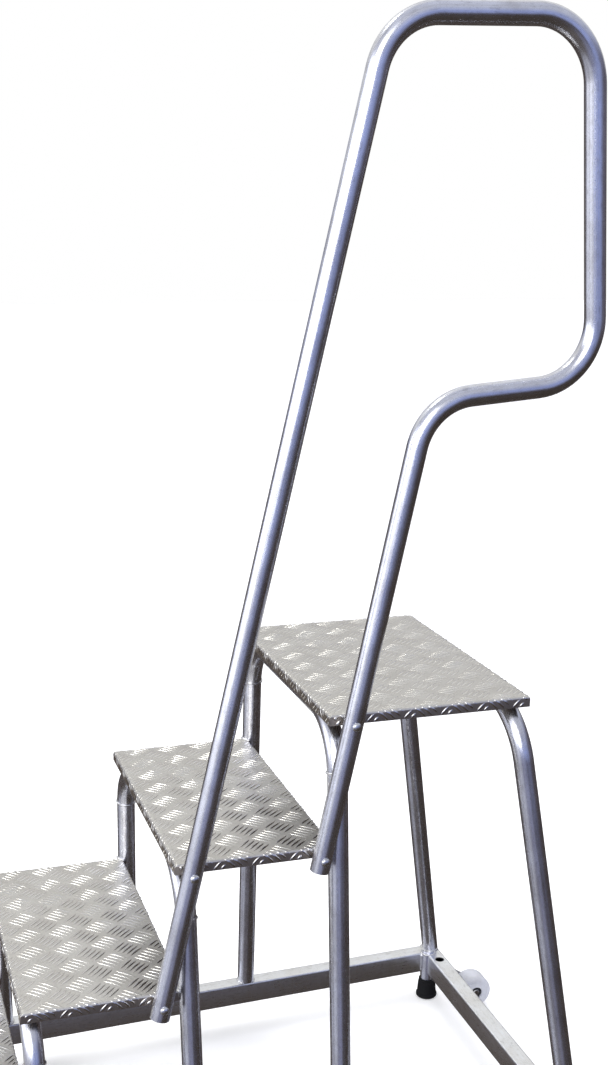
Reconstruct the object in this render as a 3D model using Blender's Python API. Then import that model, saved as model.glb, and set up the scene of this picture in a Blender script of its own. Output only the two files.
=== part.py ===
"""Mobile step stand in aluminium: four folded tread-plate steps on inverted-U tube hoops, a tapered box-tube
base with rubber-shod posts, a pair of tip-and-roll wheels behind it, and one bent-tube handrail on the
climber's right.

Axes: +X is the climber's right, +Y the climbing direction, +Z up. The origin is on the floor, midway along
the length and the width. All sizes are in metres.
"""

import math

import bmesh
import bpy
from mathutils import Matrix, Vector

# ---- driving sizes -----------------------------------------------------------------------------------
GAP = 0.0003                 # between two pieces that touch

STEPS = 4
RISE = 0.250                 # height from one tread to the next, and from the floor to the first
GOING = 0.282                # from one nose to the next
TREAD_WIDTH = 0.590
TREAD_DEPTH = 0.297
PLATFORM_DEPTH = 0.391       # the top tread is deeper
PLATE = 0.003                # thickness of the tread plate
FLANGE = 0.021               # depth of a tread's turned-down edges
NOSE_FOLD = 0.008            # outside radius of the fold at the nose
NOSE_FACETS = 4
HOOP_CLEAR = 0.001           # between a hoop's bar and the plate over and ahead of it

HOOP_OD = 0.038
TUBE_WALL = 0.003
HOOP_BEND = 0.110            # centre-line radius, less where a leg is shorter than this
HOOP_HALF = 0.270            # half the spacing of a hoop's legs, at its tread's height
BACK_HOOP_HALF = 0.292       # the same for the hoop at the back of the platform
BACK_HOOP_INSET = 0.027      # its bar's centre ahead of the platform's back edge
MOST_SPLAY = 0.14            # a leg's sideways run over its height
TUBE_SIDES = 16
BEND_STEPS = 5

BASE_TOP = 0.120             # top of the base rails above the floor
RAIL_WIDTH = 0.038
RAIL_HEIGHT = 0.052
RAIL_WALL = 0.003
RAIL_CORNER = 0.003
BASE_HALF_FRONT = 0.310      # centre line of the side rails at the front rail
BASE_HALF_BACK = 0.365       # and at the back rail
BACK_RAIL_REACH = 0.110      # back rail's centre behind the platform's back edge
CAP_FLANGE = 0.003
CAP_PLUG = 0.012
CAP_EDGE = 0.002             # bevel round its flange
CAP_TAPER = 0.001
ACCESS_HOLE = 0.022          # round hole in the back rail's top, over each wheel bracket
ACCESS_HOLE_INSET = 0.062    # its centre inside the side rail's centre line

POST_OD = 0.034
POST_SET_BACK = 0.006        # post's centre inside the face of the cross rail
POST_TOP = 0.003             # thickness of the closed top
POST_BOTTOM = 0.012          # post's end above the floor, inside its ferrule
FERRULE_HEIGHT = 0.050
FERRULE_TOP = 0.040          # outside diameters
FERRULE_FOOT = 0.052
FERRULE_RIM = 0.004          # straight part at its top
FERRULE_SOLE = 0.008         # straight part at its foot
FERRULE_EDGE = 0.002

WHEEL_RADIUS = 0.040
WHEEL_WIDTH = 0.058
WHEEL_CLEAR = 0.005          # under the wheel while the stand is level
WHEEL_REACH = 0.076          # axle behind the back rail's centre
WHEEL_INSET = 0.118          # wheel's inner face inside the base's half width at the back rail
WHEEL_EDGE = 0.004
HUB_RECESS_RADIUS = 0.0150
HUB_RECESS_DEPTH = 0.007
AXLE_DIAMETER = 0.010
WASHER = 0.0015
WASHER_OD = 0.020
AXLE_HEAD = 0.017            # diameter of the axle bolt's round head
AXLE_HEAD_EDGE = 0.001
AXLE_NUT_ACROSS = 0.017
AXLE_NUT_THICK = 0.008
BOLT_END = 0.003             # how far a bolt shows beyond its nut
BRACKET_PLATE = 0.005
BRACKET_DROP = 0.020         # its top edge below the top of the base
BRACKET_HEIGHT = 0.032
BRACKET_EYE = 0.014          # radius of the plate round the axle

RAIL_OD = 0.036              # the handrail's tube
RAIL_BEND = 0.105
RAIL_STANDOFF = 0.008        # spacer between the handrail and a tread's side
# each leg of the handrail has a bolt ahead of one tread's back edge and another behind the next one's nose
FRONT_LEG_INSETS = (0.047, 0.027)
REAR_LEG_INSETS = (0.0315, 0.0365)
PAST_BOLT = 0.025            # handrail's cut end beyond its lowest bolt
HANDRAIL_HEIGHT = 1.1105     # top bar's centre above the platform, at its front
TOP_BAR_SLOPE = 0.036
REAR_PART_REACH = 0.4115     # handrail's rear upright behind the platform's nose, at the top bar
REAR_PART_LEAN = 0.0845      # its run back over its drop
RETURN_HEIGHT = 0.540        # return bar's centre above the platform, where it meets the rear leg
RETURN_SLOPE = 0.085

BOLT_DIAMETER = 0.008
BOLT_HEAD = 0.0165
BOLT_HEAD_HEIGHT = 0.005
BOLT_HEAD_EDGE = 0.001       # straight part under its dome
NUT_ACROSS = 0.013
NUT_THICK = 0.0065
SPACER_OD = 0.016
BOLT_SIDES = 16
WHEEL_SIDES = 24

# ---- places that follow ------------------------------------------------------------------------------
BAR_INSET = HOOP_OD / 2 + HOOP_CLEAR + PLATE            # a hoop bar's centre behind the nose, and below the top
TOP = STEPS * RISE
BACK_RAIL_FROM_NOSE = PLATFORM_DEPTH + BACK_RAIL_REACH
LENGTH = (STEPS - 1) * GOING + BACK_RAIL_FROM_NOSE + WHEEL_REACH + WHEEL_RADIUS
PLATFORM_NOSE = LENGTH / 2 - WHEEL_RADIUS - WHEEL_REACH - BACK_RAIL_FROM_NOSE
BACK_RAIL_Y = PLATFORM_NOSE + BACK_RAIL_FROM_NOSE
FRONT_RAIL_Y = PLATFORM_NOSE - (STEPS - 1) * GOING + BAR_INSET
HANDRAIL_X = TREAD_WIDTH / 2 + RAIL_STANDOFF + RAIL_OD / 2
AXLE_Y = BACK_RAIL_Y + WHEEL_REACH
AXLE_Z = WHEEL_RADIUS + WHEEL_CLEAR
WHEEL_INNER_X = BASE_HALF_BACK - WHEEL_INSET
WHEEL_OUTER_X = WHEEL_INNER_X + WHEEL_WIDTH


def nose_y(step):
    """Front of tread 1, 2, 3 ... (the platform is the last)."""
    return PLATFORM_NOSE - (STEPS - step) * GOING


def tread_depth(step):
    return PLATFORM_DEPTH if step == STEPS else TREAD_DEPTH


def base_half(y):
    """Half the distance between the side rails' centre lines, which taper towards the front."""
    share = (y - FRONT_RAIL_Y) / (BACK_RAIL_Y - FRONT_RAIL_Y)
    return BASE_HALF_FRONT + (BASE_HALF_BACK - BASE_HALF_FRONT) * share


# ---- scene and materials -----------------------------------------------------------------------------
for old in list(bpy.data.objects):
    bpy.data.objects.remove(old, do_unlink=True)


def material(name, colour, metallic, roughness):
    made = bpy.data.materials.new(name)
    made.use_nodes = True
    shader = made.node_tree.nodes["Principled BSDF"]
    shader.inputs["Base Color"].default_value = (*colour, 1.0)
    shader.inputs["Metallic"].default_value = metallic
    shader.inputs["Roughness"].default_value = roughness
    return made


TREAD_PLATE = material("tread_plate", (0.60, 0.58, 0.55), 0.9, 0.38)
MILL_TUBE = material("mill_tube", (0.66, 0.68, 0.76), 1.0, 0.24)
BOX_RAIL = material("box_rail", (0.70, 0.70, 0.72), 1.0, 0.34)
BLACK_RUBBER = material("black_rubber", (0.015, 0.015, 0.016), 0.0, 0.75)
NYLON = material("nylon", (0.72, 0.74, 0.76), 0.0, 0.42)
BLACK_PLASTIC = material("black_plastic", (0.02, 0.02, 0.022), 0.0, 0.5)
ZINC = material("zinc", (0.72, 0.72, 0.70), 1.0, 0.28)

ROOT = bpy.data.objects.new("step_stand", None)
bpy.context.scene.collection.objects.link(ROOT)


def add_object(name, mesh, place=(0, 0, 0), turn=None):
    made = bpy.data.objects.new(name, mesh)
    bpy.context.scene.collection.objects.link(made)
    made.parent = ROOT
    made.location = place
    if turn is not None:
        made.rotation_euler = turn
    return made


def finished_mesh(name, bm, look, smooth_angle=35.0):
    """A mesh from a closed bmesh, faces out, round parts smooth."""
    bmesh.ops.remove_doubles(bm, verts=bm.verts, dist=1e-6)
    bmesh.ops.recalc_face_normals(bm, faces=bm.faces)
    mesh = bpy.data.meshes.new(name)
    bm.to_mesh(mesh)
    bm.free()
    mesh.shade_smooth()
    mesh.set_sharp_from_angle(angle=math.radians(smooth_angle))
    mesh.materials.append(look)
    return mesh


def subtract(target, cutter):
    """Cut one solid out of another and hide the cutter."""
    cutter.hide_render = True
    cutter.display_type = "WIRE"
    change = target.modifiers.new("cut_" + cutter.name, "BOOLEAN")
    change.operation = "DIFFERENCE"
    change.solver = "EXACT"
    change.object = cutter


# ---- shapes ------------------------------------------------------------------------------------------
def rounded_path(corners, radius):
    """Points and directions along a bent tube's centre line: straight runs, an arc at each inner corner."""
    path = [(corners[0], (corners[1] - corners[0]).normalized())]
    for before, corner, after in zip(corners, corners[1:], corners[2:]):
        back = (before - corner).normalized()
        ahead = (after - corner).normalized()
        turn = math.pi - back.angle(ahead)
        start = corner + back * radius * math.tan(turn / 2)
        centre = corner + (back + ahead).normalized() * radius / math.cos(turn / 2)
        axis = (-back).cross(ahead)
        for step in range(BEND_STEPS + 1):
            spin = Matrix.Rotation(turn * step / BEND_STEPS, 3, axis)
            path.append((centre + spin @ (start - centre), spin @ -back))
    path.append((corners[-1], (corners[-1] - corners[-2]).normalized()))
    return path


def tube_mesh(name, path, plane_normal, diameter, look, floor_cut=None, solid=False):
    """A tube along a flat path, hollow or solid. floor_cut is the height at which both ends are cut level."""
    bm = bmesh.new()
    rings = []
    for place, (point, ahead) in enumerate(path):
        across = plane_normal.cross(ahead).normalized()
        at_end = floor_cut is not None and place in (0, len(path) - 1)
        for radius in (diameter / 2, diameter / 2 - TUBE_WALL):
            ring = []
            for side in range(TUBE_SIDES):
                angle = 2 * math.pi * side / TUBE_SIDES
                spot = point + radius * (math.cos(angle) * plane_normal + math.sin(angle) * across)
                if at_end:
                    spot += ahead * (floor_cut - spot.z) / ahead.z
                ring.append(bm.verts.new(spot))
            rings.append(ring)
    outer, inner = rings[0::2], rings[1::2]
    if solid:
        bmesh.ops.delete(bm, geom=[vert for ring in inner for vert in ring], context="VERTS")

    def skin(first, second):
        for side in range(TUBE_SIDES):
            beside = (side + 1) % TUBE_SIDES
            bm.faces.new((first[side], first[beside], second[beside], second[side]))

    for layer in (outer,) if solid else (outer, inner):
        for first, second in zip(layer, layer[1:]):
            skin(first, second)
    for end in (0, -1):
        if solid:
            bm.faces.new(outer[end])
        else:
            skin(outer[end], inner[end])
    return finished_mesh(name, bm, look)


def turned_mesh(name, profile, sides, look):
    """A solid turned about local Z from a closed outline of (radius, height) points."""
    bm = bmesh.new()
    points = [bm.verts.new((radius, 0, height)) for radius, height in profile]
    edges = [bm.edges.new(pair) for pair in zip(points, points[1:] + points[:1])]
    bmesh.ops.spin(
        bm, geom=points + edges, cent=(0, 0, 0), axis=(0, 0, 1), angle=2 * math.pi, steps=sides, use_merge=True
    )
    bmesh.ops.dissolve_degenerate(bm, dist=1e-6, edges=bm.edges)
    return finished_mesh(name, bm, look)


def prism_mesh(name, outline, low, high, look):
    """An outline of (x, y) points, stretched from low to high along local Z."""
    bm = bmesh.new()
    bottom = bm.faces.new([bm.verts.new((x, y, low)) for x, y in outline])
    lifted = bmesh.ops.extrude_face_region(bm, geom=[bottom])
    tops = [item for item in lifted["geom"] if isinstance(item, bmesh.types.BMVert)]
    bmesh.ops.translate(bm, verts=tops, vec=(0, 0, high - low))
    return finished_mesh(name, bm, look)


def circle(radius, sides, start=0.0):
    return [
        (radius * math.cos(start + 2 * math.pi * n / sides), radius * math.sin(start + 2 * math.pi * n / sides))
        for n in range(sides)
    ]


def rounded_rectangle(width, height, corner):
    """Outline with one chamfer at each corner, which reads as the small radius of an extruded box tube."""
    half_w, half_h = width / 2, height / 2
    points = []
    for sign_x, sign_y, first_along_x in ((1, 1, False), (-1, 1, True), (-1, -1, False), (1, -1, True)):
        along_x = (sign_x * (half_w - corner), sign_y * half_h)
        along_y = (sign_x * half_w, sign_y * (half_h - corner))
        points += [along_x, along_y] if first_along_x else [along_y, along_x]
    return points


def box_tube_mesh(name, start, end, look):
    """A box tube from start to end, both ends cut in planes that face Y or X, whichever it runs along."""
    bm = bmesh.new()
    along_y = abs(end.y - start.y) > abs(end.x - start.x)
    rings = []
    for centre in (start, end):
        for shrink in (0.0, RAIL_WALL):
            outline = rounded_rectangle(
                RAIL_WIDTH - 2 * shrink, RAIL_HEIGHT - 2 * shrink, max(RAIL_CORNER - shrink / 2, 0.001)
            )
            offsets = [Vector((a, 0, b)) if along_y else Vector((0, a, b)) for a, b in outline]
            rings.append([bm.verts.new(centre + offset) for offset in offsets])
    outer_start, inner_start, outer_end, inner_end = rings
    for first, second in (
        (outer_start, outer_end), (inner_start, inner_end), (outer_start, inner_start), (outer_end, inner_end)
    ):
        for n in range(len(first)):
            m = (n + 1) % len(first)
            bm.faces.new((first[n], first[m], second[m], second[n]))
    return finished_mesh(name, bm, look)


# ---- treads ------------------------------------------------------------------------------------------
def tread_mesh(name, depth):
    """The folded plate as a single sheet, nose at Y = 0 and top at Z = 0, with all four edges turned down."""
    bm = bmesh.new()
    half = TREAD_WIDTH / 2
    side_view = [(0, -FLANGE)]
    for n in range(NOSE_FACETS + 1):
        angle = math.radians(180 - 90 * n / NOSE_FACETS)
        side_view.append((NOSE_FOLD * (1 + math.cos(angle)), NOSE_FOLD * (math.sin(angle) - 1)))
    side_view += [(depth, 0), (depth, -FLANGE)]
    left, right = [[bm.verts.new((x, y, z)) for y, z in side_view] for x in (-half, half)]
    for n in range(len(side_view) - 1):
        bm.faces.new((left[n], right[n], right[n + 1], left[n + 1]))
    bm.faces.new(left)
    bm.faces.new(right)
    return finished_mesh(name, bm, TREAD_PLATE, 40)


def make_tread(step):
    name = f"tread_{step}" if step < STEPS else "platform_tread"
    tread = add_object(name, tread_mesh(name, tread_depth(step)), (0, nose_y(step), step * RISE))
    wall = tread.modifiers.new("plate", "SOLIDIFY")
    wall.thickness = PLATE
    wall.offset = -1
    wall.use_even_offset = True
    return tread


# ---- hoops -------------------------------------------------------------------------------------------
def leg_foot(step):
    """Where a front hoop's right leg stands on the base, as (x, y)."""
    y = nose_y(step) + BAR_INSET
    drop = step * RISE - BASE_TOP
    return min(base_half(y), HOOP_HALF + MOST_SPLAY * drop), y


def leg_line(step):
    """Two points on the centre line of a front hoop's right leg: at its tread's height, and on the base."""
    foot_x, y = leg_foot(step)
    return Vector((HOOP_HALF, y, step * RISE)), Vector((foot_x, y, BASE_TOP))


def hoop_path(top, foot):
    """Path of an inverted U. top and foot are the right leg's line; the bar is BAR_INSET below the tread."""
    share = BAR_INSET / (top.z - foot.z)
    shoulder = top.lerp(foot, share)
    shoulder.y = top.y
    corners = [foot, shoulder, shoulder * Vector((-1, 1, 1)), foot * Vector((-1, 1, 1))]
    return rounded_path(corners, min(HOOP_BEND, (shoulder - foot).length)), corners


def make_hoop(name, top, foot, tread):
    """A hoop, and a copy GAP larger that clears the tread it carries."""
    foot = foot.copy()
    foot.z += GAP
    path, corners = hoop_path(top, foot)
    normal = (corners[1] - corners[0]).cross(corners[2] - corners[1]).normalized()
    add_object(name, tube_mesh(name, path, normal, HOOP_OD, MILL_TUBE, floor_cut=foot.z))
    clearance = tube_mesh("clearance", path, normal, HOOP_OD + 2 * GAP, MILL_TUBE, foot.z, solid=True)
    subtract(tread, add_object(f"{name}_cutter", clearance))


def leg_cutter(name, step, side):
    """A straight bar on a leg's line, GAP larger, that clears a tread's corner."""
    top, foot = leg_line(step)
    flip = Vector((side, 1, 1))
    top, foot = top * flip, foot * flip
    axis = (foot - top).normalized()
    normal = Vector((0, 1, 0))
    reach = (top - foot).length
    mesh = prism_mesh(name, circle(HOOP_OD / 2 + GAP, TUBE_SIDES), 0, reach, MILL_TUBE)
    made = add_object(name, mesh, top)
    across = axis.cross(normal)
    made.rotation_mode = "QUATERNION"
    made.rotation_quaternion = Matrix((normal, across, normal.cross(across))).transposed().to_quaternion()
    return made


# ---- handrail ----------------------------------------------------------------------------------------
def leg_bolts(step, insets):
    """Centres of a handrail leg's two bolts: near the back of one tread and the front of the next."""
    return [
        Vector((HANDRAIL_X, y, tread * RISE - FLANGE / 2))
        for tread, y in (
            (step, nose_y(step) + tread_depth(step) - insets[0]),
            (step + 1, nose_y(step + 1) + insets[1]),
        )
    ]


def meet(point_a, dir_a, point_b, dir_b):
    """Where two lines in one YZ plane cross."""
    share = ((point_b.y - point_a.y) * dir_b.z - (point_b.z - point_a.z) * dir_b.y) / (
        dir_a.y * dir_b.z - dir_a.z * dir_b.y
    )
    return point_a + dir_a * share


def handrail_corners():
    front_low, front_high = leg_bolts(STEPS - 2, FRONT_LEG_INSETS)
    rear_low, rear_high = leg_bolts(STEPS - 1, REAR_LEG_INSETS)
    front_dir = (front_high - front_low).normalized()
    rear_dir = (rear_high - rear_low).normalized()
    bar_point = Vector((HANDRAIL_X, PLATFORM_NOSE, TOP + HANDRAIL_HEIGHT))
    bar_dir = Vector((0, 1, TOP_BAR_SLOPE))
    upright_point = Vector((HANDRAIL_X, PLATFORM_NOSE + REAR_PART_REACH, TOP + HANDRAIL_HEIGHT))
    upright_dir = Vector((0, REAR_PART_LEAN, -1))
    elbow = meet(rear_low, rear_dir, Vector((HANDRAIL_X, 0, TOP + RETURN_HEIGHT)), Vector((0, 1, 0)))
    return [
        front_low - front_dir * PAST_BOLT,
        meet(front_low, front_dir, bar_point, bar_dir),
        meet(bar_point, bar_dir, upright_point, upright_dir),
        meet(upright_point, upright_dir, elbow, Vector((0, 1, RETURN_SLOPE))),
        elbow,
        rear_low - rear_dir * PAST_BOLT,
    ]


def make_handrail():
    path = rounded_path(handrail_corners(), RAIL_BEND)
    return add_object("handrail", tube_mesh("handrail", path, Vector((1, 0, 0)), RAIL_OD, MILL_TUBE))


def lies_on_x(side=1):
    """Turn that lays local Z along +X, or along -X."""
    return (0, math.radians(90 * side), 0)


def make_bolt_set(name, place, treads):
    """Dome-head bolt, spacer and nut through the handrail and a tread's side, and their holes."""
    shank = BOLT_DIAMETER / 2
    seat = RAIL_OD / 2 + GAP
    inner_face = -(RAIL_OD / 2 + RAIL_STANDOFF + PLATE)
    tip = inner_face - NUT_THICK - BOLT_END
    dome = []
    for degrees in (0, 30, 60):
        angle = math.radians(degrees)
        rise = BOLT_HEAD_EDGE + (BOLT_HEAD_HEIGHT - BOLT_HEAD_EDGE) * math.sin(angle)
        dome.append((BOLT_HEAD / 2 * math.cos(angle), seat + rise))
    profile = [(0, tip), (shank, tip), (shank, seat), (BOLT_HEAD / 2, seat), *dome, (0, seat + BOLT_HEAD_HEIGHT)]
    add_object(f"handrail_bolt_{name}", turned_mesh("bolt", profile, BOLT_SIDES, ZINC), place, lies_on_x())
    bore = shank + GAP / math.cos(math.pi / BOLT_SIDES)
    near, far = -RAIL_OD / 2 - GAP, -RAIL_OD / 2 - RAIL_STANDOFF + GAP
    outline = [(bore, near), (bore, far), (SPACER_OD / 2, far), (SPACER_OD / 2, near)]
    spacer = turned_mesh("spacer", outline, BOLT_SIDES, BLACK_PLASTIC)
    add_object(f"handrail_spacer_{name}", spacer, place, lies_on_x())
    nut = nut_mesh("nut", NUT_ACROSS, NUT_THICK, bore)
    add_object(f"handrail_nut_{name}", nut, place + Vector((inner_face - GAP - NUT_THICK, 0, 0)), lies_on_x())
    drill = prism_mesh("drill", circle(shank + GAP, BOLT_SIDES), tip, seat + BOLT_HEAD_HEIGHT, ZINC)
    hole = add_object(f"drill_{name}", drill, place, lies_on_x())
    for target in treads:
        subtract(target, hole)


def nut_mesh(name, across, thick, bore):
    """A hexagon nut from Z = 0 to thick, with a round bore."""
    bm = bmesh.new()
    count = 12                                              # a corner and the middle of a flat by turns
    rings = []
    for height in (0, thick):
        hexagon = []
        for n in range(count):
            angle = 2 * math.pi * n / count
            reach = across / 2 / math.cos((angle + math.pi / 6) % (math.pi / 3) - math.pi / 6)
            hexagon.append(bm.verts.new((reach * math.cos(angle), reach * math.sin(angle), height)))
        hole = [bm.verts.new((*spot, height)) for spot in circle(bore, count)]
        rings += [hexagon, hole]
    low_out, low_in, high_out, high_in = rings
    for first, second in ((low_out, high_out), (low_in, high_in), (low_out, low_in), (high_out, high_in)):
        for n in range(count):
            m = (n + 1) % count
            bm.faces.new((first[n], first[m], second[m], second[n]))
    return finished_mesh(name, bm, ZINC)


# ---- base --------------------------------------------------------------------------------------------
RAIL_Z = BASE_TOP - RAIL_HEIGHT / 2


def cross_rail_half(y):
    """Half length of a cross rail, whose ends are flush with the outside of the side rails."""
    return base_half(y) + RAIL_WIDTH / 2


def make_cross_rail(name, y):
    half = cross_rail_half(y)
    mesh = box_tube_mesh(name, Vector((-half, 0, 0)), Vector((half, 0, 0)), BOX_RAIL)
    rail = add_object(name, mesh, (0, y, RAIL_Z))
    for side, word, turn in ((-1, "left", math.pi), (1, "right", 0)):
        place = (side * (half + GAP), y, RAIL_Z)
        add_object(f"{name}_cap_{word}", end_cap_mesh("cap"), place, (0, 0, turn))
    return rail


def end_cap_mesh(name):
    """Plastic insert: a thin flange over a box tube's end and a plug inside it, pointing to -X."""
    bm = bmesh.new()
    inside = 2 * (RAIL_WALL + GAP)
    sections = (
        (CAP_FLANGE, 2 * CAP_EDGE, RAIL_CORNER - CAP_EDGE / 2),
        (CAP_FLANGE / 2, 0, RAIL_CORNER),
        (0, 0, RAIL_CORNER),
        (0, inside, RAIL_CORNER),
        (-CAP_PLUG, inside + CAP_TAPER, RAIL_CORNER),
    )
    rings = []
    for x, less, corner in sections:
        outline = rounded_rectangle(RAIL_WIDTH - less, RAIL_HEIGHT - less, corner)
        rings.append([bm.verts.new((x, a, b)) for a, b in outline])
    for first, second in zip(rings, rings[1:]):
        for n in range(len(first)):
            m = (n + 1) % len(first)
            bm.faces.new((first[n], first[m], second[m], second[n]))
    bm.faces.new(rings[0])
    bm.faces.new(rings[-1])
    return finished_mesh(name, bm, BLACK_PLASTIC)


def make_side_rail(name, side):
    clear = RAIL_WIDTH / 2 + GAP
    ends = [
        Vector((side * base_half(y), y, RAIL_Z)) for y in (FRONT_RAIL_Y + clear, BACK_RAIL_Y - clear)
    ]
    return add_object(name, box_tube_mesh(name, ends[0], ends[1], BOX_RAIL))


def make_corner_foot(word, side, rail_y, inward, rails):
    """Post let into the inner corner of the base, closed at its top, and the rubber ferrule on it. inward is the
    way along Y, off the cross rail."""
    radius = POST_OD / 2
    x = side * (base_half(rail_y) - RAIL_WIDTH / 2)
    y = rail_y + inward * (RAIL_WIDTH / 2 - POST_SET_BACK)
    bore = radius - TUBE_WALL
    roof = BASE_TOP - POST_TOP
    post = [
        (bore, POST_BOTTOM), (radius, POST_BOTTOM), (radius, BASE_TOP), (0, BASE_TOP), (0, roof), (bore, roof)
    ]
    add_object(f"corner_post_{word}", turned_mesh("post", post, TUBE_SIDES, MILL_TUBE), (x, y, 0))
    cutter_radius = radius + GAP / math.cos(math.pi / TUBE_SIDES)
    room = prism_mesh("post_room", circle(cutter_radius, TUBE_SIDES), POST_BOTTOM, BASE_TOP + RAIL_WALL, BOX_RAIL)
    cutter = add_object(f"post_cutter_{word}", room, (x, y, 0))
    for rail in rails:
        subtract(rail, cutter)
    foot, top = FERRULE_FOOT / 2, FERRULE_TOP / 2
    ferrule = [
        (0, 0), (foot - FERRULE_EDGE, 0), (foot, FERRULE_EDGE), (foot, FERRULE_SOLE),
        (top, FERRULE_HEIGHT - FERRULE_RIM), (top, FERRULE_HEIGHT),
        (cutter_radius, FERRULE_HEIGHT), (cutter_radius, POST_BOTTOM - GAP), (0, POST_BOTTOM - GAP),
    ]
    add_object(f"rubber_foot_{word}", turned_mesh("foot", ferrule, TUBE_SIDES, BLACK_RUBBER), (x, y, 0))


# ---- wheels ------------------------------------------------------------------------------------------
def make_wheel_set(word, side):
    """Wheel on a bolt through a bracket plate that stands behind the back rail, outboard of the wheel."""
    axle = AXLE_DIAMETER / 2
    bore = axle + GAP / math.cos(math.pi / BOLT_SIDES)
    half = WHEEL_WIDTH / 2
    place = Vector((side * (WHEEL_INNER_X + half), AXLE_Y, AXLE_Z))
    rim = []
    for degrees in (0, 45, 90):
        angle = math.radians(degrees)
        rim.append((WHEEL_RADIUS - WHEEL_EDGE * (1 - math.sin(angle)), half - WHEEL_EDGE * (1 - math.cos(angle))))
    recess = -half + HUB_RECESS_DEPTH
    profile = [
        (bore, recess), (HUB_RECESS_RADIUS, recess), (HUB_RECESS_RADIUS, -half),
        *((r, -h) for r, h in rim), *reversed(rim), (bore, half),
    ]
    add_object(f"wheel_{word}", turned_mesh("wheel", profile, WHEEL_SIDES, NYLON), place, lies_on_x(side))

    plate_low = half + WASHER + GAP
    plate_high = plate_low + BRACKET_PLATE
    seat = recess - GAP
    crown = seat - HUB_RECESS_DEPTH + 2 * GAP
    head = AXLE_HEAD / 2
    end = plate_high + GAP + AXLE_NUT_THICK + BOLT_END
    bolt = [
        (0, crown), (head - AXLE_HEAD_EDGE, crown), (head, crown + AXLE_HEAD_EDGE), (head, seat),
        (axle, seat), (axle, end), (0, end),
    ]
    add_object(f"wheel_bolt_{word}", turned_mesh("wheel_bolt", bolt, BOLT_SIDES, ZINC), place, lies_on_x(side))
    low, high = half + GAP, half + WASHER
    washer = [(bore, low), (WASHER_OD / 2, low), (WASHER_OD / 2, high), (bore, high)]
    add_object(f"wheel_washer_{word}", turned_mesh("washer", washer, BOLT_SIDES, ZINC), place, lies_on_x(side))
    nut = nut_mesh("wheel_nut", AXLE_NUT_ACROSS, AXLE_NUT_THICK, bore)
    add_object(f"wheel_nut_{word}", nut, place + Vector((side * (plate_high + GAP), 0, 0)), lies_on_x(side))

    weld_y = -(WHEEL_REACH - RAIL_WIDTH / 2 - GAP)
    top = BASE_TOP - BRACKET_DROP - AXLE_Z
    outline = [(weld_y, top), (weld_y, top - BRACKET_HEIGHT)]
    for degrees in range(-20, 131, 30):
        angle = math.radians(degrees)
        outline.append((BRACKET_EYE * math.sin(angle), -BRACKET_EYE * math.cos(angle)))
    mesh = prism_mesh("bracket", outline, plate_low, plate_high, BOX_RAIL)
    bracket = add_object(f"wheel_bracket_{word}", mesh, place)
    bracket.rotation_mode = "QUATERNION"
    bracket.rotation_quaternion = Matrix(((0, 0, 1), (1, 0, 0), (0, 1, 0))).to_quaternion()
    if side < 0:
        bracket.location.x -= plate_low + plate_high
    drill = prism_mesh(
        "axle_drill", circle(bore, BOLT_SIDES), plate_low - BRACKET_PLATE, plate_high + BRACKET_PLATE, BOX_RAIL
    )
    subtract(bracket, add_object(f"axle_drill_{word}", drill, place, lies_on_x(side)))


def make_access_hole(rail, word, side):
    tall = 2 * RAIL_WALL
    drill = prism_mesh("access_drill", circle(ACCESS_HOLE / 2, TUBE_SIDES), -tall, tall, BOX_RAIL)
    place = (side * (BASE_HALF_BACK - ACCESS_HOLE_INSET), BACK_RAIL_Y, BASE_TOP)
    subtract(rail, add_object(f"access_drill_{word}", drill, place))


# ---- assembly ----------------------------------------------------------------------------------------
def make_steps():
    treads = {step: make_tread(step) for step in range(1, STEPS + 1)}
    for step in range(1, STEPS + 1):
        top, foot = leg_line(step)
        make_hoop(f"hoop_{step}", top, foot, treads[step])
        if step > 1:
            for side, word in ((-1, "left"), (1, "right")):
                subtract(treads[step - 1], leg_cutter(f"leg_cutter_{step}_{word}", step, side))
    return treads


def make_back_hoop(platform):
    top = Vector((BACK_HOOP_HALF, PLATFORM_NOSE + PLATFORM_DEPTH - BACK_HOOP_INSET, TOP))
    foot = Vector((base_half(BACK_RAIL_Y), BACK_RAIL_Y, BASE_TOP))
    make_hoop("back_hoop", top, foot, platform)


def main():
    treads = make_steps()
    make_back_hoop(treads[STEPS])
    handrail = make_handrail()
    for leg, step, insets in (("front", STEPS - 2, FRONT_LEG_INSETS), ("rear", STEPS - 1, REAR_LEG_INSETS)):
        for level, (end, place) in enumerate(zip(("low", "high"), leg_bolts(step, insets))):
            make_bolt_set(f"{leg}_{end}", place, (treads[step + level], handrail))
    front_rail = make_cross_rail("front_rail", FRONT_RAIL_Y)
    back_rail = make_cross_rail("back_rail", BACK_RAIL_Y)
    for side, word in ((-1, "left"), (1, "right")):
        side_rail = make_side_rail(f"side_rail_{word}", side)
        make_corner_foot(f"front_{word}", side, FRONT_RAIL_Y, 1, (front_rail, side_rail))
        make_corner_foot(f"back_{word}", side, BACK_RAIL_Y, -1, (back_rail, side_rail))
        make_wheel_set(word, side)
        make_access_hole(back_rail, word, side)


main()
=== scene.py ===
"""Looks for the mobile ladder stand: bent tubes, tread plate with raised bars, welds, wheels and studio."""

import itertools
import math

import bmesh
import bpy
import numpy as np
from mathutils import Matrix, Vector


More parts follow.
